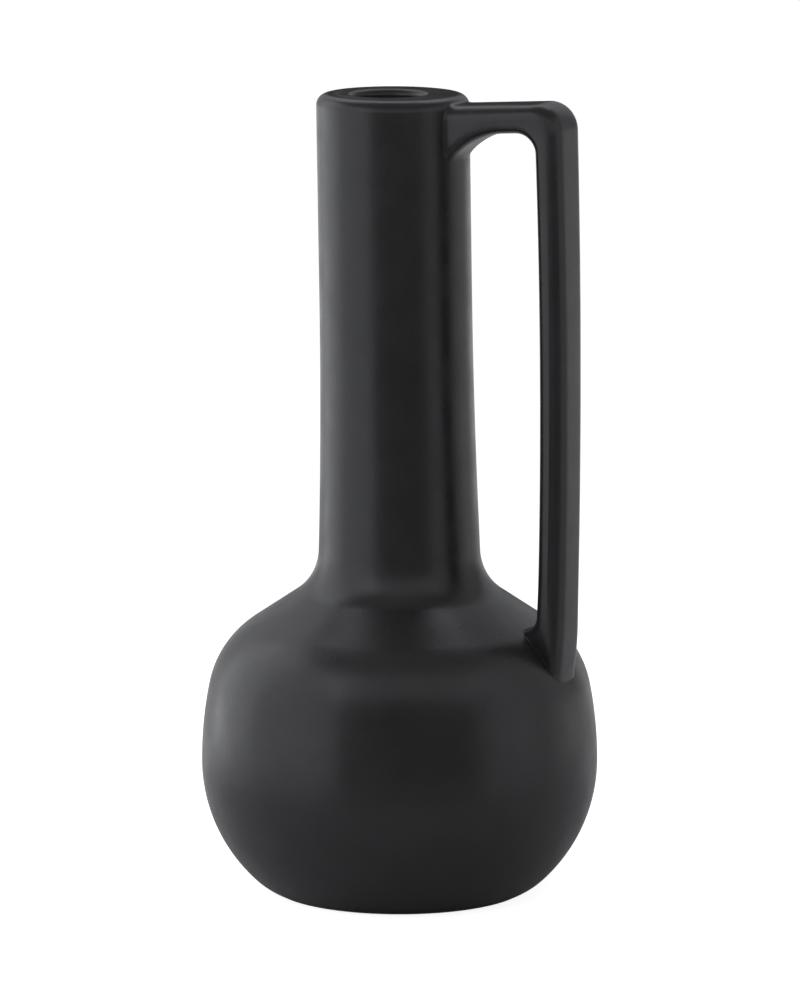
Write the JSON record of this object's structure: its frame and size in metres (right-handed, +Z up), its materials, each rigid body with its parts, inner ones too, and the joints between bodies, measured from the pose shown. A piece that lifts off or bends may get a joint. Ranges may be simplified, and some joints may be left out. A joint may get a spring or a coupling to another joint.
{
  "type": "lekythos",
  "caption": "Matt black ceramic jug with a round belly, a tall narrow neck, a thick rolled mouth and a square strap handle.",
  "frame": {"origin": "on the surface that the jug stands on, under the middle of the belly", "axes": "+Z up along the belly's axis, +X from the axis towards the handle, +Y to complete a right-handed frame"},
  "size_m": [0.1486, 0.1486, 0.3],
  "materials": {
    "black_glaze": "satin-matt black glaze",
    "bare_clay": "unglazed fired clay"
  },
  "bodies": {
    "root": {"foot_ring": "bare_clay", "floor_disc": "black_glaze", "lower_belly": "black_glaze", "shoulder": "black_glaze", "neck_collar": "black_glaze", "neck_tube": "black_glaze", "mouth_ring": "black_glaze", "handle_root": "black_glaze", "handle_arm": "black_glaze", "handle_upright": "black_glaze", "handle_foot": "black_glaze"}
  },
  "joints": []
}
